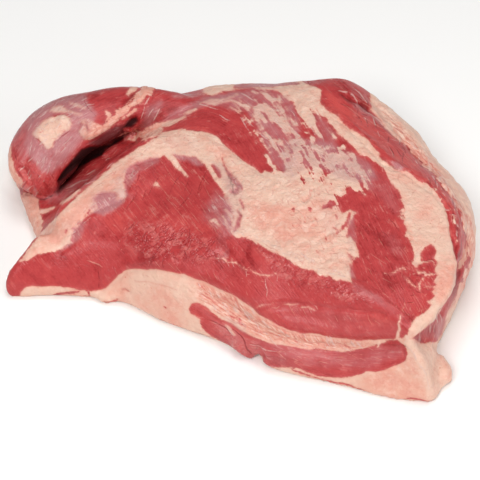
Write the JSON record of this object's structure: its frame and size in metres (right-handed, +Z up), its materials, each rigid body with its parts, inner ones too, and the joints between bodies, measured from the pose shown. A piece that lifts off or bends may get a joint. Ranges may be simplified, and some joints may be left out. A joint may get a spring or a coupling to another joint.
{
  "type": "raw corned beef brisket",
  "caption": "Whole raw boneless beef brisket lying fat side down, with a muscle flap folded over one end, fat bands and an open seam.",
  "frame": {"origin": "middle of the bottom of the box round the piece, on the surface that it lies on", "axes": "+X from the thin end towards the thick end, along the long cut face; +Y from that face towards the back; +Z up"},
  "size_m": [0.4134, 0.3384, 0.0949],
  "materials": {
    "raw_beef": "moist"
  },
  "bodies": {
    "root": {"brisket": "raw_beef"}
  },
  "joints": []
}
